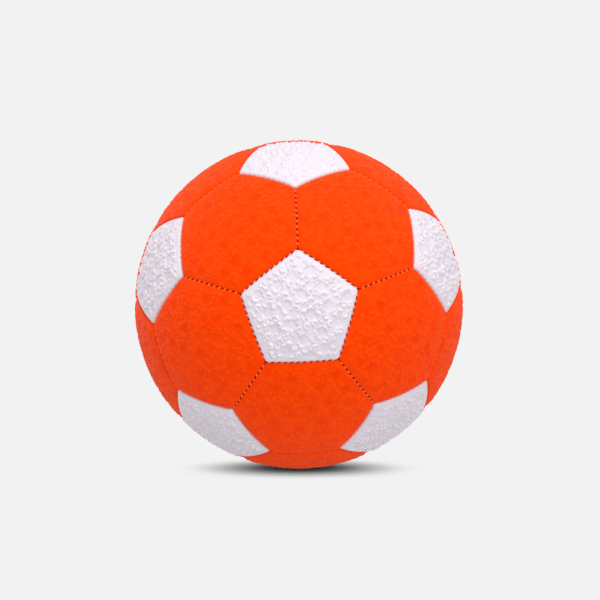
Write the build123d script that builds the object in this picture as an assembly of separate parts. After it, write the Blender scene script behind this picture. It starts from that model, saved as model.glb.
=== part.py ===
"""Size 5 soccer ball: 12 pentagon and 20 hexagon panels sewn round a bladder with a plug valve.

Millimetres. The origin is the middle of the ball, +Z is up, and one pentagon faces -Y with a corner
at its top. The pentagon opposite, on +Y, holds the valve. Each panel, lining and thread is modelled once
about +Z and then turned to its places on the ball.
"""
from build123d import *
from itertools import combinations
from math import asin, atan, cos, degrees, pi, radians, sin, sqrt, tan
import os

# The ball and its sewn cover
circumference = 690
cover_wall = 1.2
seam_gap = 0.6
shoulder_radius = 1.6
corner_radius = 2.6

# Linings glued behind the cover
lining_thickness = 2.4
glue_gap = 0.05
lining_side_gap = 0.2

# Seam thread and the needle holes that it passes through
stitches_per_seam = 11
corner_margin = 2.9
thread_width = 0.8
thread_thickness = 0.5
thread_gap = 0.05
thread_tail = 0.6
stitch_thread = 0.6
needle_gap = 0.15

# Bladder, which the ends of the hems reach
bladder_wall = 0.9
bladder_gap = 0.1

# Valve: a rubber housing bonded to the bladder, with a plug pushed into it from outside
plug_diameter = 4.6
plug_length = 15.0
plug_head_lip = 1.0
plug_head_height = 1.4
plug_gap = 0.05
plug_end_gap = 0.4
needle_channel = 2.0
channel_floor = 3.0
needle_lead_in = 0.5
neck_wall = 1.2
neck_edge_radius = 0.5
neck_below_cover = 0.4
neck_gap = 0.15
stem_floor = 1.5
flange_width = 8.5
flange_thickness = 1.2
flange_gap = 0.2
patch_width = 10.5
patch_thickness = 0.45

ball_radius = circumference / (2 * pi)
dome_inside = ball_radius - cover_wall
lining_outside = dome_inside - glue_gap
lining_inside = lining_outside - lining_thickness
patch_outside = lining_inside - glue_gap
flange_outside = patch_outside - patch_thickness - flange_gap
bladder_outside = flange_outside - flange_thickness - glue_gap
hem_inside = bladder_outside + bladder_gap

needle_hole = stitch_thread + 2 * needle_gap
stitch_depth = max(shoulder_radius, cover_wall) + max(needle_hole, thread_width) / 2 + thread_gap
stitch_radius = ball_radius - stitch_depth
hem_face = seam_gap / 2 + cover_wall
rail_offset = hem_face + thread_gap + thread_thickness / 2
lining_inset = rail_offset + thread_thickness / 2 + lining_side_gap

plug_head_diameter = plug_diameter + 2 * plug_head_lip
neck_diameter = plug_head_diameter + 2 * (plug_gap + neck_wall)
neck_top = ball_radius - neck_below_cover
plug_bottom = neck_top - plug_length
bore_bottom = plug_bottom - plug_end_gap

# Angles of a truncated icosahedron, in degrees, as seen from the middle of the ball
pentagon_spacing = degrees(atan(2))
hexagon_tilt = degrees(atan(3 - sqrt(5)))
hexagon_spacing = degrees(asin(2 / 3))
towards_neighbour = Vector(0, 0, 2) + Vector(0, 0, 1).rotate(Axis.Y, pentagon_spacing)
pentagon_corner = towards_neighbour.get_angle(Vector(0, 0, 1))
half_seam = pentagon_spacing / 2 - pentagon_corner
hexagon_corner = degrees(asin(2 * sin(radians(half_seam))))
last_stitch = half_seam - degrees(corner_margin / stitch_radius)

FRONT = Plane(origin=(0, 0, 0), x_dir=(0, 0, 1), z_dir=(0, -1, 0))


def upright(diameter, bottom, top):
    """A round post about +Z between two heights."""
    return Pos(Z=bottom) * Cylinder(diameter / 2, top - bottom, align=(Align.CENTER, Align.CENTER, Align.MIN))


def side_tilt(sides, corner):
    """The angle from a panel's middle to the middle of one of its sides."""
    return degrees(atan(tan(radians(corner)) * cos(pi / sides)))


def within_seams(body, sides, corner, inset):
    """What of a body lies between the planes of a panel's seams, each moved in by `inset`."""
    inward = Vector(0, 0, 1).rotate(Axis.Y, side_tilt(sides, corner) - 90)
    for side in range(sides):
        normal = inward.rotate(Axis.Z, (side + 0.5) * 360 / sides)
        body = split(body, bisect_by=Plane(origin=normal * inset, z_dir=normal))
    return body


def seam_frames(sides, corner):
    """A frame for each side of a panel: +Z out through the seam's middle, +X across the seam, +Y along it."""
    return [Rot(Z=(side + 0.5) * 360 / sides) * Rot(Y=side_tilt(sides, corner)) for side in range(sides)]


def stitch_angles():
    """Where the stitches lie along a seam, in degrees from its middle."""
    step = 2 * last_stitch / (stitches_per_seam - 1)
    return [stitch * step - last_stitch for stitch in range(stitches_per_seam)]


def needle_holes(sides, corner):
    """The holes that the needle leaves through a panel's turned-in hem."""
    reach = hem_face + thread_gap
    hole = Rot(Y=-90) * Cylinder(needle_hole / 2, reach, align=(Align.CENTER, Align.CENTER, Align.MIN))
    return [
        frame * Rot(X=angle) * Pos(Z=stitch_radius) * hole
        for frame in seam_frames(sides, corner)
        for angle in stitch_angles()
    ]


def cover_panel(sides, corner):
    """A domed panel of the cover, with rounded shoulders and its edges turned in as sewn hems."""
    block = upright(1.4 * ball_radius, 0.8 * ball_radius, 1.05 * ball_radius)
    panel = within_seams(block, sides, corner, seam_gap / 2)
    corners = panel.edges().filter_by(lambda edge: abs(edge.tangent_at(0.5).Z) > 0.5)
    panel = fillet(corners, corner_radius) & (Sphere(ball_radius) - Sphere(hem_inside))
    outside = max(panel.faces().filter_by(GeomType.SPHERE), key=lambda face: face.area)
    panel = fillet(outside.edges(), shoulder_radius)
    panel -= within_seams(Sphere(dome_inside), sides, corner, hem_face)
    return panel - needle_holes(sides, corner)


def lining(sides, corner):
    """The foam-backed cloth glued inside one panel, cut back to clear the thread along the hem."""
    return within_seams(Sphere(lining_outside) - Sphere(lining_inside), sides, corner, lining_inset)


def thread_band():
    """The layer of the ball that the thread along the hems lies in."""
    return Sphere(stitch_radius + thread_width / 2) - Sphere(stitch_radius - thread_width / 2)


def hem_rail(side):
    """Thread pulled flat along one hem of a seam, a little past its end stitches."""
    half_length = stitch_radius * sin(radians(last_stitch)) + thread_tail
    ribbon = Box(thread_thickness, 2 * half_length, 2 * stitch_depth)
    return thread_band() & Pos(X=side * rail_offset, Z=stitch_radius) * ribbon


def seam_stitches():
    """The stitches that cross one seam, from hem to hem."""
    stitch = Rot(Y=90) * Cylinder(stitch_thread / 2, 2 * rail_offset)
    return [Rot(X=angle) * Pos(Z=stitch_radius) * stitch for angle in stitch_angles()]


def seam_thread():
    """The thread of one seam by itself, with a rail along each hem."""
    return hem_rail(-1) + [hem_rail(1), *seam_stitches()]


def pentagon_thread():
    """The thread of a pentagon's five seams: a closed loop inside it and a rail beyond each seam."""
    near = rail_offset - thread_thickness / 2
    loop = within_seams(thread_band(), 5, pentagon_corner, near)
    loop -= within_seams(thread_band(), 5, pentagon_corner, near + thread_thickness)
    sides = seam_frames(5, pentagon_corner)
    return loop + [frame * piece for frame in sides for piece in [hem_rail(1), *seam_stitches()]]


def cap(outside, inside, diameter):
    """A round patch of a sphere's wall, in the middle of a panel."""
    return (Sphere(outside) - Sphere(inside)) & upright(diameter, 0, outside)


def valve_hole():
    """The way through cover, lining and bladder for the valve's neck and stem."""
    return upright(neck_diameter + 2 * neck_gap, 0, ball_radius)


def valve_patch():
    """The cloth disc glued inside the lining to strengthen the cover round the valve."""
    return cap(patch_outside, patch_outside - patch_thickness, neck_diameter + 2 * patch_width) - valve_hole()


def valve_housing():
    """A rubber tube closed at its inner end, with a round flange that follows the bladder."""
    tube = upright(neck_diameter, bore_bottom - stem_floor, neck_top)
    tube = fillet(tube.edges().filter_by(GeomType.CIRCLE), neck_edge_radius)
    flange = cap(flange_outside, flange_outside - flange_thickness, neck_diameter + 2 * flange_width)
    head_seat = upright(plug_head_diameter + 2 * plug_gap, neck_top - plug_head_height - plug_gap, neck_top)
    return tube + flange - upright(plug_diameter + 2 * plug_gap, bore_bottom, neck_top) - head_seat


def valve_plug():
    """The plug that seals the valve: a head, a stem and a blind channel that the needle enters."""
    plug = upright(plug_diameter, plug_bottom, neck_top)
    plug += upright(plug_head_diameter, neck_top - plug_head_height, neck_top)
    plug -= upright(needle_channel, plug_bottom + channel_floor, neck_top)
    mouth = plug.faces().sort_by(Axis.Z)[-1].inner_wires()[0]
    return chamfer(mouth.edges(), needle_lead_in)


def bladder():
    """The butyl air bag, open where the valve's stem goes in."""
    return Sphere(bladder_outside) - Sphere(bladder_outside - bladder_wall) - valve_hole()


def place(azimuth, tilt, turn):
    """Turns a piece modelled about +Z to its place, `tilt` degrees from the ball's front."""
    return FRONT.location * Rot(Z=azimuth) * Rot(Y=tilt) * Rot(Z=turn)


def save(name, *pieces):
    """Writes one node's solids to its own file."""
    solids = [solid for piece in pieces for solid in piece.solids()]
    export_step(solids[0] if len(solids) == 1 else Compound(children=solids), f"parts/{name}.step")


os.makedirs("parts", exist_ok=True)

front = {"front_pentagon": place(0, 0, 0)}
front_ring = {
    f"front_ring_pentagon_{spot + 1}": place(72 * spot, pentagon_spacing, 180) for spot in range(5)
}
rear_ring = {
    f"rear_ring_pentagon_{spot + 1}": place(72 * spot + 36, 180 - pentagon_spacing, 0) for spot in range(5)
}
sewn_pentagons = front | front_ring | rear_ring
valve_place = place(0, 180, 0)

hexagon_rows = {
    "front_hexagon": (36, hexagon_tilt),
    "front_middle_hexagon": (36, hexagon_tilt + hexagon_spacing),
    "rear_middle_hexagon": (0, 180 - hexagon_tilt - hexagon_spacing),
    "rear_hexagon": (0, 180 - hexagon_tilt),
}
hexagons = {
    f"{row}_{spot + 1}": place(72 * spot + first, tilt, 30)
    for row, (first, tilt) in hexagon_rows.items()
    for spot in range(5)
}

pentagon_panel = cover_panel(5, pentagon_corner)
hexagon_panel = cover_panel(6, hexagon_corner)
for name, location in sewn_pentagons.items():
    save(name, location * pentagon_panel)
save("valve_pentagon", valve_place * (pentagon_panel - valve_hole()))
for name, location in hexagons.items():
    save(name, location * hexagon_panel)

pentagon_lining = lining(5, pentagon_corner)
hexagon_lining = lining(6, hexagon_corner)
pierced_lining = valve_place * (pentagon_lining - valve_hole())
save("pentagon_linings", pierced_lining, *[spot * pentagon_lining for spot in sewn_pentagons.values()])
save("hexagon_linings", *[spot * hexagon_lining for spot in hexagons.values()])

loop = pentagon_thread()
for name, location in (sewn_pentagons | {"valve_pentagon": valve_place}).items():
    save(f"{name}_thread", location * loop)

straight = Rot(Z=90) * seam_thread()
middles = [Plane(location).z_dir for location in [*sewn_pentagons.values(), valve_place]]
straight_places = [
    Plane(origin=(0, 0, 0), x_dir=second - first, z_dir=first + second).location
    for first, second in combinations(middles, 2)
    if first.get_angle(second) < pentagon_spacing + 1
]
save("hexagon_seam_threads", *[spot * straight for spot in straight_places])

save("bladder", valve_place * bladder())
save("valve_patch", valve_place * valve_patch())
save("valve_housing", valve_place * valve_housing())
save("valve_plug", valve_place * valve_plug())
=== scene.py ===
"""A sewn soccer ball, dressed piece by piece from the bladder outwards, then its floor, lights and camera."""
import bmesh
import bpy
from math import atan, cos, pi, radians, sin, tan
from mathutils import Matrix, Vector


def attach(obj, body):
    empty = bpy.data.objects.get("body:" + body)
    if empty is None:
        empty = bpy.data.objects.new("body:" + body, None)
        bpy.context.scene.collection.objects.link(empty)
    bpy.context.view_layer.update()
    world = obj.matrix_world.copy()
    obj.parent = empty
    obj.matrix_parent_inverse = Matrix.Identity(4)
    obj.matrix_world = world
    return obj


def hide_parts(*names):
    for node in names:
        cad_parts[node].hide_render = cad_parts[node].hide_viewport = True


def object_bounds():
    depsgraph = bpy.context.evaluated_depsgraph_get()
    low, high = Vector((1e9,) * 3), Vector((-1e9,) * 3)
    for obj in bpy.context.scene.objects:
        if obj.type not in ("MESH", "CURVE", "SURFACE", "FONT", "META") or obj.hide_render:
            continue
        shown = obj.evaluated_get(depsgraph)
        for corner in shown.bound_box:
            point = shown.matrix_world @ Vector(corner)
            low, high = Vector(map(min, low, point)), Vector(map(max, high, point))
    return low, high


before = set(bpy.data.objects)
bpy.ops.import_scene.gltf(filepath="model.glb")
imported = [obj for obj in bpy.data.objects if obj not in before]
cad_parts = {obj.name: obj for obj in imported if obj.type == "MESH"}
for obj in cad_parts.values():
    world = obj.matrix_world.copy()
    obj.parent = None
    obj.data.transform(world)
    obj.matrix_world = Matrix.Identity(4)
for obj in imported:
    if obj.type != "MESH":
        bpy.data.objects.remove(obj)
cad_box = [list(corner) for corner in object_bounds()]


# Bladder: a bag of butyl rubber that holds the air, made by dipping a former.
# It floats inside the cover and is held by its valve alone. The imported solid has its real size.
def linear(hex_colour):
    """The linear colour of an sRGB hex value."""
    parts = [int(hex_colour[i:i + 2], 16) / 255 for i in (0, 2, 4)]
    return (*[p / 12.92 if p <= 0.04045 else ((p + 0.055) / 1.055) ** 2.4 for p in parts], 1)


def add(tree, kind, *feeds, **named):
    """Adds a node and feeds its open inputs in order, each from a node, a socket or a plain value.

    A keyword in small letters is one of the node's settings. One with a capital feeds the input of that name.
    """
    node = tree.nodes.new(kind)
    for name, value in named.items():
        if name.islower():
            setattr(node, name, value)
    inputs = [socket for socket in node.inputs if socket.enabled]
    pairs = list(zip(inputs, feeds))
    for name, feed in named.items():
        if not name.islower():
            pairs.append((next(s for s in inputs if s.name == name.replace("_", " ")), feed))
    for socket, feed in pairs:
        if isinstance(feed, bpy.types.Node):
            feed = next(s for s in feed.outputs if s.enabled)
        if isinstance(feed, bpy.types.NodeSocket):
            tree.links.new(feed, socket)
        elif feed is not None:
            socket.default_value = feed
    return node


def new_finish(name):
    """A new material and its empty tree."""
    made = bpy.data.materials.new(name)
    made.use_nodes = True
    made.node_tree.nodes.clear()
    return made, made.node_tree


def dress(node, made):
    """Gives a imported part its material."""
    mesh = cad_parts[node].data
    mesh.materials.clear()
    mesh.materials.append(made)


# Butyl rubber as it comes off the former: matt and nearly black, with paler patches of bloom.
butyl, tree = new_finish("dipped_butyl_rubber")
bloom_width = 0.0125
spot = add(tree, "ShaderNodeTexCoord").outputs["Object"]
bloom = add(tree, "ShaderNodeTexNoise", spot, Scale=1 / bloom_width, Detail=4)
tint = add(tree, "ShaderNodeMix", bloom, linear("141414"), linear("2a2928"), data_type="RGBA")
shader = add(tree, "ShaderNodeBsdfPrincipled", tint, Roughness=0.6, IOR=1.52)
add(tree, "ShaderNodeOutputMaterial", shader)
dress("bladder", butyl)


# Valve: a moulded rubber housing on a disc that is cured to the bladder, and a plug pushed in from outside.
# The plug has the needle channel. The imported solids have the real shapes, so they only get their finish.

# Natural rubber from a fine mould: dark grey with a soft shine, broken up by a faint grain.
moulded, tree = new_finish("moulded_valve_rubber")
mould_grain = 0.0004
spot = add(tree, "ShaderNodeTexCoord").outputs["Object"]
grain = add(tree, "ShaderNodeTexNoise", spot, Scale=1 / mould_grain, Detail=3)
shade = add(tree, "ShaderNodeValToRGB", grain)
for stop, colour in zip(shade.color_ramp.elements, ("1b1b1d", "303033")):
    stop.color = linear(colour)
bump = add(tree, "ShaderNodeBump", Strength=0.35, Distance=0.0002, Height=grain)
shader = add(tree, "ShaderNodeBsdfPrincipled", shade, Roughness=0.45, IOR=1.52, Normal=bump)
add(tree, "ShaderNodeOutputMaterial", shader)
for name in ("valve_housing", "valve_plug", "valve_patch"):
    dress(name, moulded)


# Linings: layers of cotton and polyester cloth, glued under each panel so that it keeps its shape.
# They are die cut a little smaller than the panels, and only the seams and the valve hole let them show.

# Plain weave in off white: dull, with dark spots where the threads cross.
woven, tree = new_finish("laminated_woven_cloth")
thread_spacing = 0.001375     # twice the real spacing, so that it shows
band_at_scale_one = 2 * pi / 20
spot = add(tree, "ShaderNodeTexCoord").outputs["Object"]
warp, weft = [add(tree, "ShaderNodeTexWave", spot, Scale=band_at_scale_one / thread_spacing,
                  wave_type="BANDS", bands_direction=way).outputs["Fac"] for way in "XZ"]
weave = add(tree, "ShaderNodeMath", warp, weft, operation="MULTIPLY")
shade = add(tree, "ShaderNodeValToRGB", weave)
for stop, colour in zip(shade.color_ramp.elements, ("8f8a80", "d9d4c8")):
    stop.color = linear(colour)
bump = add(tree, "ShaderNodeBump", Strength=0.6, Distance=0.0002, Height=weave)
shader = add(tree, "ShaderNodeBsdfPrincipled", shade, Roughness=0.9, Normal=bump)
add(tree, "ShaderNodeOutputMaterial", shader)
for name in ("pentagon_linings", "hexagon_linings"):
    dress(name, woven)


# White panels: twelve pentagons of PVC leather, die cut, their edges turned in as hems and sewn from inside.
# An embossing roller has left smooth flat spots, with open curls raised between them. The rim stays smooth.
ball_radius = round(-cad_box[0][1], 7)     # the middle of the front panel is the ball's foremost point
cover_wall = 0.0012
dome_inside = 0.10866     # the panels' inner face
hem_inside = 0.104317     # the ends of the hems
meeting_radius = ball_radius - 0.0038     # where the hems meet below the stitches
pentagon_corner = radians(20.0768)     # from a panel's middle to its corners, seen from the ball's middle
stitches_per_seam = 11
last_stitch = radians(10.098)     # from a seam's middle to the stitch nearest its end
stitch_step = 2 * last_stitch / (stitches_per_seam - 1)


def panel_edge(tree, given, aside, half, seam):
    """How far out the panel ends at each bearing, its gap to the seam there, and how tight the thread is.

    The bearing is given as the angle aside from the nearest side's middle. Distances are flat: tangents of
    angles at the ball's middle.
    """
    aside_cos = add(tree, "ShaderNodeMath", aside, operation="COSINE")
    aside_tan = add(tree, "ShaderNodeMath", aside, operation="TANGENT")
    aside_tan = add(tree, "ShaderNodeMath", aside_tan, operation="ABSOLUTE")
    half_cos = add(tree, "ShaderNodeMath", half, operation="COSINE")
    half_sin = add(tree, "ShaderNodeMath", half, operation="SINE")

    # The thread is tight at a stitch, 1, and slack at the hole between two stitches, 0.
    stretch = add(tree, "ShaderNodeMath", seam, seam, 1.0, operation="MULTIPLY_ADD")
    along = add(tree, "ShaderNodeMath", seam, aside_tan, operation="MULTIPLY")
    along = add(tree, "ShaderNodeMath", along, add(tree, "ShaderNodeMath", stretch, operation="SQRT"),
                operation="DIVIDE")
    along = add(tree, "ShaderNodeMath", along, operation="ARCTANGENT")
    wave = add(tree, "ShaderNodeMath", along, 2 * pi / stitch_step, operation="MULTIPLY")
    wave = add(tree, "ShaderNodeMath", wave, operation="COSINE")
    wave = add(tree, "ShaderNodeMath", wave, 0.5, 0.5, operation="MULTIPLY_ADD")
    wave = add(tree, "ShaderNodeMath", wave, wave, operation="MULTIPLY")
    past = add(tree, "ShaderNodeMath", along, last_stitch, operation="GREATER_THAN")
    tight = add(tree, "ShaderNodeMath", wave, past, operation="MAXIMUM")

    # The side, less the gap to the seam, and the round that takes over from it near a corner.
    gap = add(tree, "ShaderNodeMix", tight, given["Gap at Hole"], given["Gap at Stitch"])
    flat_unit = add(tree, "ShaderNodeMath", stretch, given["Ball Radius"], operation="DIVIDE")
    side = add(tree, "ShaderNodeMath", gap, flat_unit, operation="MULTIPLY")
    side = add(tree, "ShaderNodeMath", side, -1.0, seam, operation="MULTIPLY_ADD")
    bend = add(tree, "ShaderNodeMath", given["Corner Radius"], flat_unit, operation="MULTIPLY")
    pivot = add(tree, "ShaderNodeMath", side, bend, operation="SUBTRACT")
    pivot = add(tree, "ShaderNodeMath", pivot, half_cos, operation="DIVIDE")
    off = add(tree, "ShaderNodeMath", aside, operation="ABSOLUTE")
    off = add(tree, "ShaderNodeMath", half, off, operation="SUBTRACT")
    across = add(tree, "ShaderNodeMath", pivot, add(tree, "ShaderNodeMath", off, operation="SINE"),
                 operation="MULTIPLY")
    chord = add(tree, "ShaderNodeMath", add(tree, "ShaderNodeMath", bend, bend, operation="MULTIPLY"),
                add(tree, "ShaderNodeMath", across, across, operation="MULTIPLY"), operation="SUBTRACT")
    chord = add(tree, "ShaderNodeMath", chord, 0.0, operation="MAXIMUM")
    chord = add(tree, "ShaderNodeMath", chord, operation="SQRT")
    rounded = add(tree, "ShaderNodeMath", pivot, add(tree, "ShaderNodeMath", off, operation="COSINE"), chord,
                  operation="MULTIPLY_ADD")
    straight = add(tree, "ShaderNodeMath", side, aside_cos, operation="DIVIDE")
    turned = add(tree, "ShaderNodeMath", add(tree, "ShaderNodeMath", side, aside_tan, operation="MULTIPLY"),
                 add(tree, "ShaderNodeMath", pivot, half_sin, operation="MULTIPLY"), operation="GREATER_THAN")
    return add(tree, "ShaderNodeMix", turned, straight, rounded), gap, tight, flat_unit


def embossing(tree, given, sheet, from_edge, from_middle):
    """Where the roller has raised curls and pressed flat spots, each from 0 to 1.

    The cell textures give their distances as shares of their pitch, and so do the limits here.
    """
    spots = add(tree, "ShaderNodeTexVoronoi", sheet, Exponent=3, Randomness=0.25, voronoi_dimensions="2D",
                Scale=add(tree, "ShaderNodeMath", 1.0, given["Pad Pitch"], operation="DIVIDE"),
                distance="MINKOWSKI")
    pad = add(tree, "ShaderNodeMapRange", spots.outputs["Distance"], 0.17, 0.3, 1.0, 0.0,
              interpolation_type="SMOOTHSTEP")

    # A curl is a ring round the middle of its cell, open on one side and faded where it nears another cell.
    per_curl = add(tree, "ShaderNodeMath", 1.0, given["Curl Pitch"], operation="DIVIDE")
    cells = add(tree, "ShaderNodeTexVoronoi", sheet, Scale=per_curl, Randomness=0.8,
                voronoi_dimensions="2D").outputs
    ring = add(tree, "ShaderNodeMath", cells["Distance"], 0.3, operation="SUBTRACT")
    ring = add(tree, "ShaderNodeMath", ring, operation="ABSOLUTE")
    ring = add(tree, "ShaderNodeMapRange", ring, 0.04, 0.28, 1.0, 0.0, interpolation_type="SMOOTHSTEP")
    borders = add(tree, "ShaderNodeTexVoronoi", sheet, Scale=per_curl, Randomness=0.8,
                  voronoi_dimensions="2D", feature="DISTANCE_TO_EDGE")
    apart = add(tree, "ShaderNodeMapRange", borders, 0.0, 0.14, 0.0, 1.0, interpolation_type="SMOOTHSTEP")
    way = add(tree, "ShaderNodeSeparateXYZ", cells["Color"])
    way = add(tree, "ShaderNodeMath", way, 2 * pi, operation="MULTIPLY")
    way = add(tree, "ShaderNodeCombineXYZ", add(tree, "ShaderNodeMath", way, operation="COSINE"),
              add(tree, "ShaderNodeMath", way, operation="SINE"), 0.0)
    arm = add(tree, "ShaderNodeVectorMath", sheet, cells["Position"], operation="SUBTRACT")
    arm = add(tree, "ShaderNodeVectorMath", arm, operation="NORMALIZE")
    facing = add(tree, "ShaderNodeVectorMath", arm, way, operation="DOT_PRODUCT").outputs["Value"]
    closed = add(tree, "ShaderNodeMapRange", facing, 0.2, 0.8, 1.0, 0.0, interpolation_type="SMOOTHSTEP")
    curl = add(tree, "ShaderNodeMath", ring, apart, operation="MULTIPLY")
    curl = add(tree, "ShaderNodeMath", curl, closed, operation="MULTIPLY")

    # Neither reaches the smooth rim, or the bare middle that the valve's panel has.
    fade = 0.0018
    rim = add(tree, "ShaderNodeMapRange", from_edge, given["Rim Width"],
              add(tree, "ShaderNodeMath", given["Rim Width"], fade, operation="ADD"), 0.0, 1.0,
              interpolation_type="SMOOTHSTEP")
    inside = add(tree, "ShaderNodeMath", from_middle, given["Bare Middle"], operation="SUBTRACT")
    inside = add(tree, "ShaderNodeMapRange", inside, 0.0, fade, 0.0, 1.0, interpolation_type="SMOOTHSTEP")
    rim = add(tree, "ShaderNodeMath", rim, inside, operation="MULTIPLY")
    raised = add(tree, "ShaderNodeMath", 1.0, pad, operation="SUBTRACT")
    raised = add(tree, "ShaderNodeMath", raised, curl, operation="MULTIPLY")
    return (add(tree, "ShaderNodeMath", raised, rim, operation="MULTIPLY"),
            add(tree, "ShaderNodeMath", pad, rim, operation="MULTIPLY"))


def hemmed(tree, skin, brink, inner_brink, inner_rings):
    """Closes a domed skin: down to where the hems meet, on to their ends, in, back up and across inside."""
    open_edge = add(tree, "ShaderNodeMath", add(tree, "GeometryNodeInputMeshEdgeNeighbors"), 1.5,
                    operation="LESS_THAN")
    stations = [(brink, meeting_radius), (brink, hem_inside), (inner_brink, hem_inside),
                (inner_brink, dome_inside)]
    for ring in range(1, inner_rings + 1):
        left = 1 - ring / inner_rings
        shrunk = add(tree, "ShaderNodeVectorMath", inner_brink, (left, left, 1), operation="MULTIPLY")
        stations.append((shrunk, dome_inside))
    for direction, distance in stations:
        spread = add(tree, "GeometryNodeExtrudeMesh", skin, open_edge, Offset_Scale=0.0, mode="EDGES").outputs
        spot = add(tree, "ShaderNodeVectorMath", direction, operation="NORMALIZE")
        spot = add(tree, "ShaderNodeVectorMath", spot, Scale=distance, operation="SCALE")
        skin = add(tree, "GeometryNodeSetPosition", spread["Mesh"], spread["Top"], spot)
    return add(tree, "GeometryNodeMergeByDistance", skin, Distance=1e-6)


def cover_panel_tree(name, leather, shoulder_rows, inner_rings):
    """The tree of one cover panel about +Z with a corner towards +X: domed, embossed, rounded and hemmed."""
    tree = bpy.data.node_groups.new(name, "GeometryNodeTree")
    for kind, titles in (("Int", ("Sides", "Sectors per Side", "Levels")),
                         ("Float", ("Ball Radius", "Corner Angle", "Corner Radius", "Shoulder Radius",
                                    "Gap at Stitch", "Gap at Hole", "Pucker Depth", "Puff Depth",
                                    "Puff Width", "Rim Width", "Pad Pitch", "Pad Depth", "Curl Pitch",
                                    "Curl Height", "Bare Middle", "Sheet Turn")),
                         ("Vector", ("Sheet Shift",))):
        for title in titles:
            tree.interface.new_socket(title, in_out="INPUT", socket_type="NodeSocket" + kind)
    tree.interface.new_socket("Panel", in_out="OUTPUT", socket_type="NodeSocketGeometry")
    given = add(tree, "NodeGroupInput").outputs

    # Each point of the flat panel: its bearing, how far aside of a side's middle, and how far out, 0 to 1.
    position = add(tree, "GeometryNodeInputPosition")
    x, y = add(tree, "ShaderNodeSeparateXYZ", position).outputs[:2]
    radius = add(tree, "ShaderNodeVectorMath", position, operation="LENGTH").outputs["Value"]
    bearing = add(tree, "ShaderNodeMath", y, x, operation="ARCTAN2")
    half = add(tree, "ShaderNodeMath", pi, given["Sides"], operation="DIVIDE")
    share = add(tree, "ShaderNodeMath", half, 2, operation="MULTIPLY")
    aside = add(tree, "ShaderNodeMath", bearing, share, operation="FLOORED_MODULO")
    aside = add(tree, "ShaderNodeMath", aside, half, operation="SUBTRACT")
    aside_cos = add(tree, "ShaderNodeMath", aside, operation="COSINE")
    half_cos = add(tree, "ShaderNodeMath", half, operation="COSINE")
    reach = add(tree, "ShaderNodeMath", given["Corner Angle"], operation="TANGENT")
    seam = add(tree, "ShaderNodeMath", reach, half_cos, operation="MULTIPLY")
    out = add(tree, "ShaderNodeMath", radius, aside_cos, operation="MULTIPLY")
    out = add(tree, "ShaderNodeMath", out, seam, operation="DIVIDE", use_clamp=True)

    # The flat panel itself: a fan of triangles, its rim drawn in to the straight sides, then subdivided.
    sectors = add(tree, "ShaderNodeMath", given["Sides"], given["Sectors per Side"], operation="MULTIPLY")
    fan = add(tree, "GeometryNodeMeshCircle", sectors, reach, fill_type="TRIANGLE_FAN")
    onto_side = add(tree, "ShaderNodeMath", half_cos, aside_cos, operation="DIVIDE")
    onto_side = add(tree, "ShaderNodeVectorMath", position, Scale=onto_side, operation="SCALE")
    fan = add(tree, "GeometryNodeSetPosition", fan, True, onto_side)
    fan = add(tree, "GeometryNodeSubdivideMesh", fan, given["Levels"])
    edge, gap, tight, flat_unit = panel_edge(tree, given, aside, half, seam)

    # The last rows run down the quarter circle of the shoulder, the others share the dome evenly.
    bound = add(tree, "ShaderNodeMath", 2.0, given["Levels"], operation="POWER")
    bound = add(tree, "ShaderNodeMath", shoulder_rows, bound, operation="DIVIDE")
    bound = add(tree, "ShaderNodeMath", 1.0, bound, operation="SUBTRACT")
    shoulder = add(tree, "ShaderNodeMath", given["Shoulder Radius"], flat_unit, operation="MULTIPLY")
    shoulder = add(tree, "ShaderNodeMath", shoulder, aside_cos, operation="DIVIDE")
    quarter = add(tree, "ShaderNodeMapRange", out, bound, 1.0, 0.0, pi / 2)
    crown = add(tree, "ShaderNodeMath", edge, shoulder, operation="SUBTRACT")
    inward = add(tree, "ShaderNodeMath", out, bound, operation="DIVIDE")
    inward = add(tree, "ShaderNodeMath", inward, 1.0, operation="MINIMUM")
    rho = add(tree, "ShaderNodeMath", add(tree, "ShaderNodeMath", quarter, operation="SINE"), shoulder,
              add(tree, "ShaderNodeMath", crown, inward, operation="MULTIPLY"), operation="MULTIPLY_ADD")
    drop = add(tree, "ShaderNodeMath", quarter, operation="COSINE")
    drop = add(tree, "ShaderNodeMath", 1.0, drop, operation="SUBTRACT")
    drop = add(tree, "ShaderNodeMath", drop, given["Shoulder Radius"], operation="MULTIPLY")

    # Each stitch pulls a pucker into the rim, and the air puffs the panel up, so it falls away to the seams.
    pucker_reach = 0.0028
    from_edge = add(tree, "ShaderNodeMath", edge, rho, operation="SUBTRACT")
    from_edge = add(tree, "ShaderNodeMath", from_edge, aside_cos, operation="MULTIPLY")
    from_edge = add(tree, "ShaderNodeMath", from_edge, flat_unit, operation="DIVIDE")
    pucker = add(tree, "ShaderNodeMapRange", from_edge, 0.0, pucker_reach, 1.0, 0.0,
                 interpolation_type="SMOOTHSTEP")
    pucker = add(tree, "ShaderNodeMath", pucker, tight, operation="MULTIPLY")
    pucker = add(tree, "ShaderNodeMath", pucker, given["Pucker Depth"], operation="MULTIPLY")
    puff = add(tree, "ShaderNodeMath", from_edge, given["Puff Width"], operation="DIVIDE")
    puff = add(tree, "ShaderNodeMath", 1.0, puff, operation="SUBTRACT", use_clamp=True)
    puff = add(tree, "ShaderNodeMath", puff, puff, operation="MULTIPLY")
    puff = add(tree, "ShaderNodeMath", puff, given["Puff Depth"], operation="MULTIPLY")
    pulled = add(tree, "ShaderNodeMath", pucker, puff, operation="ADD")

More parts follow.
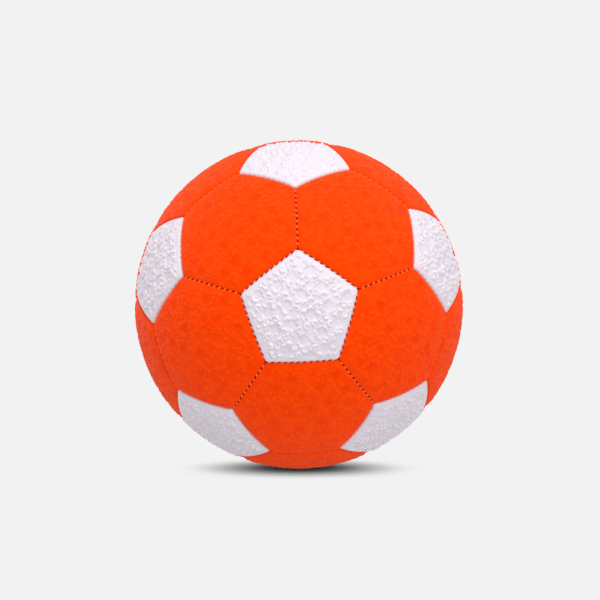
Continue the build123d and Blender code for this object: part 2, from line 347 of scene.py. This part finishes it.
    # The leather's own coordinates, in metres on the sheet it was cut from, then what the roller did to it.
    bearing_arm = add(tree, "ShaderNodeCombineXYZ", add(tree, "ShaderNodeMath", bearing, operation="COSINE"),
                      add(tree, "ShaderNodeMath", bearing, operation="SINE"), 0.0)
    arc = add(tree, "ShaderNodeMath", rho, operation="ARCTANGENT")
    arc = add(tree, "ShaderNodeMath", arc, given["Ball Radius"], operation="MULTIPLY")
    sheet = add(tree, "ShaderNodeVectorMath", bearing_arm, Scale=arc, operation="SCALE")
    sheet = add(tree, "ShaderNodeVectorRotate", sheet, Angle=given["Sheet Turn"], rotation_type="Z_AXIS")
    sheet = add(tree, "ShaderNodeVectorMath", sheet, given["Sheet Shift"], operation="ADD")
    raised, padded = embossing(tree, given, sheet, from_edge, arc)
    sunk = add(tree, "ShaderNodeMath", given["Pad Depth"], padded, operation="MULTIPLY")
    relief = add(tree, "ShaderNodeMath", raised, given["Curl Height"], operation="MULTIPLY")
    relief = add(tree, "ShaderNodeMath", relief, sunk, operation="SUBTRACT")

    # Each point's place on the ball, and the directions of the hem's two faces at its bearing.
    height = add(tree, "ShaderNodeMath", given["Ball Radius"], drop, operation="SUBTRACT")
    height = add(tree, "ShaderNodeMath", height, add(tree, "ShaderNodeMath", relief, pulled,
                 operation="SUBTRACT"), operation="ADD")
    slack = add(tree, "ShaderNodeMath", gap, given["Gap at Stitch"], operation="SUBTRACT")
    slack = add(tree, "ShaderNodeMath", slack, flat_unit, operation="MULTIPLY")
    slack = add(tree, "ShaderNodeMath", slack, aside_cos, operation="DIVIDE")
    meeting = add(tree, "ShaderNodeMath", edge, slack, operation="ADD")
    wall = add(tree, "ShaderNodeMath", flat_unit, -cover_wall, operation="MULTIPLY")
    wall = add(tree, "ShaderNodeMath", wall, aside_cos, operation="DIVIDE")
    inner = add(tree, "ShaderNodeMath", meeting, wall, operation="ADD")
    towards, brink, inner_brink = [
        add(tree, "ShaderNodeVectorMath", add(tree, "ShaderNodeVectorMath", bearing_arm, Scale=distance,
            operation="SCALE"), (0, 0, 1), operation="ADD") for distance in (rho, meeting, inner)]
    place = add(tree, "ShaderNodeVectorMath", towards, operation="NORMALIZE")
    place = add(tree, "ShaderNodeVectorMath", place, Scale=height, operation="SCALE")
    kept = add(tree, "GeometryNodeCaptureAttribute", fan)
    for title, kind, field in (("Brink", "VECTOR", brink), ("Inner Brink", "VECTOR", inner_brink),
                               ("Sheet", "VECTOR", sheet), ("Relief", "FLOAT", raised),
                               ("Pad", "FLOAT", padded), ("Place", "VECTOR", place)):
        kept.capture_items.new(kind, title)
        tree.links.new(field.outputs[0], kept.inputs[title])
    kept = kept.outputs
    skin = add(tree, "GeometryNodeSetPosition", kept["Geometry"], True, kept["Place"])
    skin = hemmed(tree, skin, kept["Brink"], kept["Inner Brink"], inner_rings)
    for title, field, kind, domain in (("UVMap", kept["Sheet"], "FLOAT2", "CORNER"),
                                       ("relief", kept["Relief"], "FLOAT", "POINT"),
                                       ("pad", kept["Pad"], "FLOAT", "POINT")):
        skin = add(tree, "GeometryNodeStoreNamedAttribute", skin, Name=title, Value=field, data_type=kind,
                   domain=domain)
    skin = add(tree, "GeometryNodeSetShadeSmooth", skin)
    skin = add(tree, "GeometryNodeRealizeInstances", skin)
    skin = add(tree, "GeometryNodeSetMaterial", skin, Material=leather)
    add(tree, "NodeGroupOutput", skin)
    return tree


def grown(name, tree, sizes, start=None):
    """The plain mesh object that a tree gives with these sizes, from a start mesh if it needs one."""
    host = bpy.data.objects.new(name + "_host", start or bpy.data.meshes.new(name + "_host"))
    bpy.context.scene.collection.objects.link(host)
    maker = host.modifiers.new("make", "NODES")
    maker.node_group = tree
    sockets = {item.name: item.identifier for item in tree.interface.items_tree if item.in_out == "INPUT"}
    for title, value in sizes.items():
        maker[sockets[title]] = value
    bpy.context.view_layer.update()
    ready = host.evaluated_get(bpy.context.evaluated_depsgraph_get())
    mesh = bpy.data.meshes.new_from_object(ready)
    host.modifiers.remove(maker)
    bpy.data.objects.remove(host)
    mesh.name = name
    made = bpy.data.objects.new(name, mesh)
    bpy.context.scene.collection.objects.link(made)
    return made


def seat(azimuth, tilt, turn):
    """The placing of a panel modelled about +Z: the front panel faces -Y with a corner towards +Z."""
    front = Matrix(((0, -1, 0), (0, 0, -1), (1, 0, 0))).to_4x4()
    return (front @ Matrix.Rotation(radians(azimuth), 4, "Z") @ Matrix.Rotation(radians(tilt), 4, "Y")
            @ Matrix.Rotation(radians(turn), 4, "Z"))


def leather_named(name, base, recess_and_patch_shade, painted_curl_highlight, grain_strength, smoothest, **gloss):
    """PVC coated leather: grained and a little uneven in tone, with painted shade in the sunken flat spots
    and a painted highlight on the raised curls.

    The grain and the wrinkles are drawn twice as coarse as on the real sheet, so that they show.
    """
    made, tree = new_finish(name)
    patch_width, grain_width, wrinkle_width, grain_depth = 0.009, 0.0009, 0.0016, 0.00012
    patch_share, painted_recess_share = 0.8, 0.3     # how far the random patches, and the painted shade in the flat spots, go towards the darker colour
    uv = add(tree, "ShaderNodeUVMap", uv_map="UVMap")
    patches = add(tree, "ShaderNodeTexNoise", uv, Scale=1 / patch_width, Detail=3)
    uneven = add(tree, "ShaderNodeMapRange", patches, 0.35, 0.7, 0.0, patch_share)
    pad = add(tree, "ShaderNodeAttribute", attribute_name="pad").outputs["Fac"]
    relief = add(tree, "ShaderNodeAttribute", attribute_name="relief").outputs["Fac"]
    low = add(tree, "ShaderNodeMath", pad, painted_recess_share, uneven, operation="MULTIPLY_ADD")
    # Painted shade: the sunken flat spots are darkened, along with the random patches.
    tone = add(tree, "ShaderNodeMix", low, linear(base), linear(recess_and_patch_shade), data_type="RGBA")
    # Painted highlight: the raised curls are made paler.
    tone = add(tree, "ShaderNodeMix", relief, tone, linear(painted_curl_highlight), data_type="RGBA")
    pores = add(tree, "ShaderNodeTexVoronoi", uv, Scale=1 / grain_width, voronoi_dimensions="2D")
    wrinkles = add(tree, "ShaderNodeTexNoise", uv, Scale=1 / wrinkle_width, Detail=3)
    grain = add(tree, "ShaderNodeMath", pores, wrinkles, operation="ADD")
    bump = add(tree, "ShaderNodeBump", Strength=grain_strength, Distance=grain_depth, Height=grain)
    rough = add(tree, "ShaderNodeMapRange", relief, 0.0, 1.0, smoothest + 0.1, smoothest)
    shader = add(tree, "ShaderNodeBsdfPrincipled", tone, Roughness=rough, IOR=1.5, Normal=bump, **gloss)
    add(tree, "ShaderNodeOutputMaterial", shader)
    return made


def punch_hole(panel):
    """Cuts the valve's hole through the rear panel, clear of the valve's neck, and keeps its edge crisp.

    The punch is turned by half a facet, so that none of its corners meets the panel's line of symmetry.
    """
    hole_radius, punch_length, facets = 0.0047, 0.02, 72
    rod = bmesh.new()
    place = (Matrix.Translation((0, ball_radius, 0)) @ Matrix.Rotation(pi / 2, 4, "X")
             @ Matrix.Rotation(pi / facets, 4, "Z"))
    bmesh.ops.create_cone(rod, cap_ends=True, segments=facets, radius1=hole_radius, radius2=hole_radius,
                          depth=punch_length, matrix=place)
    tool = bpy.data.objects.new("hole_punch", bpy.data.meshes.new("hole_punch"))
    rod.to_mesh(tool.data)
    rod.free()
    bpy.context.scene.collection.objects.link(tool)
    cut = panel.modifiers.new("cut", "BOOLEAN")
    cut.object, cut.solver = tool, "EXACT"
    bpy.context.view_layer.update()
    ready = panel.evaluated_get(bpy.context.evaluated_depsgraph_get())
    mesh = bpy.data.meshes.new_from_object(ready)
    panel.modifiers.remove(cut)
    bpy.data.objects.remove(tool)
    mesh.name = panel.name
    panel.data = mesh
    mesh.set_sharp_from_angle(angle=radians(50))


# White PVC leather, embossed while warm: a cool white satin whose curls catch the light, helped by a painted
# highlight, and whose sunken flat spots carry painted shade.
white_leather = leather_named("white_embossed_pvc_leather", "e4dce5", "e0d7e1", "eae2eb",
                              grain_strength=0.5, smoothest=0.42)
pentagon_tree = cover_panel_tree("pentagon_panel", white_leather, shoulder_rows=4, inner_rings=4)
pentagon_sizes = {
    "Sides": 5, "Sectors per Side": 2, "Levels": 6, "Ball Radius": ball_radius,
    "Corner Angle": pentagon_corner, "Corner Radius": 0.0026, "Shoulder Radius": 0.0015,
    "Gap at Stitch": 0.0001, "Gap at Hole": 0.00055, "Pucker Depth": 0.00025, "Puff Depth": 0.0009,
    "Puff Width": 0.01, "Rim Width": 0.0022, "Pad Pitch": 0.0118, "Pad Depth": 0.0006, "Curl Pitch": 0.0045,
    "Curl Height": 0.00095, "Bare Middle": -0.01}     # below zero, so there is none
valve_surround = 0.0075
pentagons = {"front_pentagon": (0, 0, 0), "valve_pentagon": (0, 180, 0)}
for k in range(5):
    pentagons[f"front_ring_pentagon_{k + 1}"] = (72 * k, 63.435, 180)
    pentagons[f"rear_ring_pentagon_{k + 1}"] = (72 * k + 36, 116.565, 0)
for k, (name, where) in enumerate(sorted(pentagons.items())):     # each is cut from another spot of the sheet
    sizes = {**pentagon_sizes, "Sheet Turn": radians(-23 + 40 * k),
             "Sheet Shift": (-0.006 + 0.0371 * k, 0.0063 + 0.0113 * k, 0)}
    if name == "valve_pentagon":
        sizes["Bare Middle"] = valve_surround
    panel = grown(name + "_skin", pentagon_tree, sizes)
    panel.data.transform(seat(*where))
    if name == "valve_pentagon":
        punch_hole(panel)
    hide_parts(name)
    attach(panel, "ball")


# Orange panels: twenty hexagons of the same leather, dyed through, cut and hemmed as the white ones are.
# The roller is set lighter on them, so their curls and flat spots stay shallow.
hexagon_corner = radians(23.8002)

# Orange PVC leather with more filler in it: duller than the white, with a warm shine, darker patches at
# random, painted shade in the sunken flat spots and a painted highlight on the curls.
orange_leather = leather_named("orange_embossed_pvc_leather", "ff4802", "f63a02", "ff4d03",
                               grain_strength=0.9, smoothest=0.55, Diffuse_Roughness=0.6,
                               Specular_IOR_Level=0.2, Specular_Tint=linear("ffc04c"))
hexagon_tree = cover_panel_tree("hexagon_panel", orange_leather, shoulder_rows=4, inner_rings=6)
hexagon_sizes = {**pentagon_sizes, "Sides": 6, "Sectors per Side": 1, "Corner Angle": hexagon_corner,
                 "Gap at Hole": 0.00035, "Curl Height": 0.00055, "Pad Depth": 0.0002}
hexagons = {}
for k in range(5):
    hexagons[f"front_hexagon_{k + 1}"] = (72 * k + 36, 37.377, 30)
    hexagons[f"front_middle_hexagon_{k + 1}"] = (72 * k + 36, 79.188, 30)
    hexagons[f"rear_middle_hexagon_{k + 1}"] = (72 * k, 100.812, 30)
    hexagons[f"rear_hexagon_{k + 1}"] = (72 * k, 142.623, 30)
for k, (name, where) in enumerate(sorted(hexagons.items())):
    sizes = {**hexagon_sizes, "Sheet Turn": radians(25 + 34 * k),
             "Sheet Shift": (0.0523 * k + 0.6, 0.0211 * k, 0)}
    panel = grown(name + "_skin", hexagon_tree, sizes)
    panel.data.transform(seat(*where))
    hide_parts(name)
    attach(panel, "ball")


# Sewing: bonded polyester thread, pulled tight through both hems at eleven stitches a seam.
# Cream thread sews each white panel in, and orange thread joins the orange ones. It runs on inside the hems.
def seam_thread_tree(thread):
    """The tree that sews along seams: a slanted crest at each stitch, and a line of thread on each side."""
    tree = bpy.data.node_groups.new("seam_thread", "GeometryNodeTree")
    tree.interface.new_socket("Seams", in_out="INPUT", socket_type="NodeSocketGeometry")
    tree.interface.new_socket("Stitches", in_out="INPUT", socket_type="NodeSocketInt")
    for title in ("Ball Radius", "Thread Width", "Line Offset", "Line Depth", "Crest Lift", "Crest Reach",
                  "Slant", "Side Shift"):
        tree.interface.new_socket(title, in_out="INPUT", socket_type="NodeSocketFloat")
    tree.interface.new_socket("Thread", in_out="OUTPUT", socket_type="NodeSocketGeometry")
    given = add(tree, "NodeGroupInput").outputs
    seams = add(tree, "GeometryNodeMeshToCurve", given["Seams"])
    seams = add(tree, "GeometryNodeResampleCurve", seams, True, given["Stitches"])
    out = add(tree, "ShaderNodeVectorMath", add(tree, "GeometryNodeInputPosition"), operation="NORMALIZE")
    tangent = add(tree, "GeometryNodeInputTangent")
    on_ball = add(tree, "ShaderNodeVectorMath", out, Scale=given["Ball Radius"], operation="SCALE")
    seams = add(tree, "GeometryNodeSetPosition", seams, True, on_ball)

    # One stitch, as a bent strand across the seam: up from one line of thread, over, and down to the other.
    down, back, left = [add(tree, "ShaderNodeMath", given[title], -1.0, operation="MULTIPLY")
                        for title in ("Line Depth", "Slant", "Line Offset")]
    near, far = [add(tree, "ShaderNodeMath", given["Side Shift"], given["Crest Reach"], operation=sign)
                 for sign in ("SUBTRACT", "ADD")]
    steps, sides = 6, 6
    strand = add(tree, "GeometryNodeCurvePrimitiveBezierSegment", steps,
                 add(tree, "ShaderNodeCombineXYZ", back, left, down),
                 add(tree, "ShaderNodeCombineXYZ", back, near, given["Crest Lift"]),
                 add(tree, "ShaderNodeCombineXYZ", given["Slant"], far, given["Crest Lift"]),
                 add(tree, "ShaderNodeCombineXYZ", given["Slant"], given["Line Offset"], down))
    thickness = add(tree, "ShaderNodeMath", given["Thread Width"], 0.5, operation="MULTIPLY")
    round_end = add(tree, "GeometryNodeCurvePrimitiveCircle", sides, thickness)
    measured = []
    for title, curve in (("Along", strand), ("Around", round_end)):
        kept = add(tree, "GeometryNodeCaptureAttribute", curve)
        kept.capture_items.new("FLOAT", title)
        tree.links.new(add(tree, "GeometryNodeSplineParameter").outputs["Length"], kept.inputs[title])
        measured.append(kept.outputs)
    along, around = measured
    strand = add(tree, "GeometryNodeCurveToMesh", along["Geometry"], around["Geometry"], Fill_Caps=True)
    strand = add(tree, "GeometryNodeStoreNamedAttribute", strand, Name="UVMap",
                 Value=add(tree, "ShaderNodeCombineXYZ", along["Along"], around["Around"]),
                 data_type="FLOAT2", domain="CORNER")
    facing = add(tree, "FunctionNodeAxesToRotation", out, tangent, primary_axis="Z", secondary_axis="X")
    stitches = add(tree, "GeometryNodeInstanceOnPoints", seams, Instance=strand, Rotation=facing)
    everything = add(tree, "GeometryNodeJoinGeometry", stitches)

    # The two lines of thread that run under the hems, one on either side of the seam.
    across = add(tree, "ShaderNodeVectorMath", out, tangent, operation="CROSS_PRODUCT")
    low = add(tree, "ShaderNodeMath", given["Ball Radius"], given["Line Depth"], operation="SUBTRACT")
    sunk = add(tree, "ShaderNodeVectorMath", out, Scale=low, operation="SCALE")
    line_width, line_height = 0.0005, 0.0008
    flat = add(tree, "GeometryNodeCurvePrimitiveQuadrilateral", Width=line_width, Height=line_height)
    for reach in (given["Line Offset"], left):
        step = add(tree, "ShaderNodeVectorMath", across, Scale=reach, operation="SCALE")
        moved = add(tree, "ShaderNodeVectorMath", step, sunk, operation="ADD")
        line = add(tree, "GeometryNodeSetPosition", seams, True, moved)
        line = add(tree, "GeometryNodeCurveToMesh", line, flat, Fill_Caps=True)
        tree.links.new(line.outputs["Mesh"], everything.inputs[0])
    sewn = add(tree, "GeometryNodeRealizeInstances", everything)
    sewn = add(tree, "GeometryNodeSetShadeSmooth", sewn)
    sewn = add(tree, "GeometryNodeSetMaterial", sewn, Material=thread)
    add(tree, "NodeGroupOutput", sewn)
    return tree


def thread_named(name, shadow, light):
    """Bonded polyester thread: twisted plies under a thin coat, so a soft shine, with painted shade in the
    grooves between the plies and painted light on the plies.
    """
    made, tree = new_finish(name)
    ply_spacing = 0.0022     # along the thread, twice as coarse as the real twist, so that it shows
    band_at_scale_one = 2 * pi / 10
    uv = add(tree, "ShaderNodeUVMap", uv_map="UVMap")
    twist = add(tree, "ShaderNodeTexWave", uv, Scale=band_at_scale_one / ply_spacing, wave_type="BANDS",
                bands_direction="DIAGONAL").outputs["Fac"]
    # Painted shade and light: the twist's bands darken the grooves and pale the plies.
    ply = add(tree, "ShaderNodeMix", twist, linear(shadow), linear(light), data_type="RGBA")
    bump = add(tree, "ShaderNodeBump", Strength=0.5, Distance=0.0001, Height=twist)
    shader = add(tree, "ShaderNodeBsdfPrincipled", ply, Roughness=0.7, Specular_IOR_Level=0.2, Normal=bump)
    add(tree, "ShaderNodeOutputMaterial", shader)
    return made


def seam_frames(where, sides, corner):
    """A frame at the middle of each side of a panel: +Z outwards, +Y along the seam."""
    tilt = atan(tan(corner) * cos(pi / sides))
    return [seat(*where) @ Matrix.Rotation((2 * k + 1) * pi / sides, 4, "Z") @ Matrix.Rotation(tilt, 4, "Y")
            for k in range(sides)]


def seam_ends(name, frames):
    """A mesh with one edge for each seam, from its first stitch to its last."""
    points = [f @ Vector((0, ball_radius * sin(a), ball_radius * cos(a))) for f in frames
              for a in (-last_stitch, last_stitch)]
    made = bpy.data.meshes.new(name)
    made.from_pydata(points, [(i, i + 1) for i in range(0, len(points), 2)], [])
    return made


thread_sizes = {"Stitches": stitches_per_seam, "Ball Radius": ball_radius - 0.0011, "Line Offset": 0.0018,
                "Line Depth": 0.0021}
cream_sizes = {**thread_sizes, "Thread Width": 0.0012, "Crest Lift": -0.0005, "Crest Reach": 0.0002,
               "Slant": 0.0012, "Side Shift": 0.0012}
orange_sizes = {**thread_sizes, "Thread Width": 0.0014, "Crest Lift": -0.0003, "Crest Reach": 0.0014,
                "Slant": 0.0013, "Side Shift": 0.0}
cream_tree = seam_thread_tree(thread_named("cream_bonded_thread", "d79f8c", "eec4b5"))
sewn_middles = []
for name, where in sorted(pentagons.items()):
    frames = seam_frames(where, 5, pentagon_corner)
    sewn_middles += [f.col[2].to_3d() for f in frames]
    loop = grown(name + "_sewing", cream_tree, cream_sizes, seam_ends(name + "_seams", frames))
    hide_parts(name + "_thread")
    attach(loop, "ball")

# A hexagon's side is sewn with orange thread if no pentagon and no hexagon before it shares that seam.
same_seam = 0.05     # middles of seams nearer than this, as directions, are of one seam
frames = []
for name, where in sorted(hexagons.items()):
    for f in seam_frames(where, 6, hexagon_corner):
        middle = f.col[2].to_3d()
        if all((middle - other).length > same_seam for other in sewn_middles):
            sewn_middles.append(middle)
            frames.append(f)
orange_tree = seam_thread_tree(thread_named("orange_bonded_thread", "ee5a1c", "ff8042"))
seams = grown("hexagon_seam_sewing", orange_tree, orange_sizes, seam_ends("hexagon_seams", frames))
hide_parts("hexagon_seam_threads")
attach(seams, "ball")


# Floor: a plain pale board that the ball rests on, a little below the camera's eye and level across its view.
# It glows in the tone of the background, and only the ball's contact shadow, painted into the glow, shows on
# it.
def sees_background(tree):
    """1 for a ray from the camera, off a gloss or through glass, which shows the background, and else 0."""
    rays = add(tree, "ShaderNodeLightPath").outputs
    seen = add(tree, "ShaderNodeMath", rays["Is Camera Ray"], rays["Is Transmission Ray"],
               operation="MAXIMUM")
    return add(tree, "ShaderNodeMath", seen, rays["Is Glossy Ray"], operation="MAXIMUM")


background, room_light = "f2f2f2", 0.7
camera_distance = 7.5     # in radii of the ball
camera_place = Vector((-0.0067, -0.9993, 0.0381)) * camera_distance * ball_radius
camera_right = Vector((0.9992, -0.0082, -0.0382))
camera_up = Vector((0.0385, 0.0378, 0.9985))
camera_back = camera_right.cross(camera_up).normalized()
floor_slope, relief_under_ball, floor_half = radians(2.5), 0.00035, 4
floor_up = (camera_up * cos(floor_slope) - camera_back * sin(floor_slope)).normalized()
floor_deep = floor_up.cross(camera_right).normalized()
centre = -ball_radius * floor_up - relief_under_ball * floor_up
mesh = bpy.data.meshes.new("floor")
mesh.from_pydata([centre + camera_right * a * floor_half + floor_deep * b * floor_half
                  for a, b in ((-1, -1), (1, -1), (1, 1), (-1, 1))], [], [(0, 1, 2, 3)])
floor = bpy.data.objects.new("floor", mesh)
bpy.context.scene.collection.objects.link(floor)

# A glowing board: to the camera even and pale, with a painted shadow that darkens its glow where the ball
# hides most of the room from it. To the ball it glows as evenly as the room's light.
board, tree = new_finish("glowing_board_with_painted_shadow")
open_sky = add(tree, "ShaderNodeAmbientOcclusion", Distance=1.0, samples=16).outputs["AO"]
closed_in, in_the_open, darkest = 0.06, 0.42, 0.02     # shares of the room seen, and the darkest tone of the painted shadow
clear = add(tree, "ShaderNodeMapRange", open_sky, closed_in, in_the_open, darkest, 1.0)
# Painted shadow: the glow's tone goes towards near black where the ball hides the room.
tone = add(tree, "ShaderNodeMix", clear, linear("0a0a0a"), linear(background), data_type="RGBA")
shown = add(tree, "ShaderNodeEmission", tone, 1.0)
glow = add(tree, "ShaderNodeEmission", linear("ffffff"), room_light)
add(tree, "ShaderNodeOutputMaterial", add(tree, "ShaderNodeMixShader", sees_background(tree), glow, shown))
mesh.materials.append(board)


# Lights: three square soft boxes on stands, one over the ball, a wider one in front and a weak one behind.
# The pale walls of the room throw the rest of the light back evenly from all round.
room = bpy.data.worlds.new("pale_room")
bpy.context.scene.world = room
room.use_nodes = True
tree = room.node_tree
tree.nodes.clear()
lit = add(tree, "ShaderNodeBackground", linear("ffffff"), room_light)
seen = add(tree, "ShaderNodeBackground", linear(background), 1.0)
add(tree, "ShaderNodeOutputWorld", add(tree, "ShaderNodeMixShader", sees_background(tree), lit, seen))
for name, spot, size, power in (("top_soft_box", (0.065, -0.585, 1.157), 0.6, 6.1),
                                ("front_soft_box", (0.48, -1.5, 0.24), 1.2, 9.6),
                                ("rear_soft_box", (-1.1, 0.9, 0.2), 1.2, 3.5)):
    lamp = bpy.data.lights.new(name, "AREA")
    lamp.size, lamp.energy = size, power
    box = bpy.data.objects.new(name, lamp)
    box.location = spot
    box.rotation_euler = (-Vector(spot)).to_track_quat("-Z", "Y").to_euler()
    bpy.context.scene.collection.objects.link(box)


# Camera: stands nearly level with the ball, with its lens at the length that gives the ball's perspective.
# It is turned a little about its own axis, and the shift sets the ball just off the frame's middle.
lens = bpy.data.cameras.new("camera")
lens.sensor_width, lens.lens = 36, 72.9
lens.shift_x, lens.shift_y = 0.0018, 0.0073
lens.clip_start = 0.01
eye = bpy.data.objects.new("camera", lens)
eye.matrix_world = Matrix((camera_right, camera_up, camera_back)).transposed().to_4x4()
eye.location = camera_place
bpy.context.scene.collection.objects.link(eye)
bpy.context.scene.camera = eye
bpy.context.scene.view_settings.view_transform = "Standard"
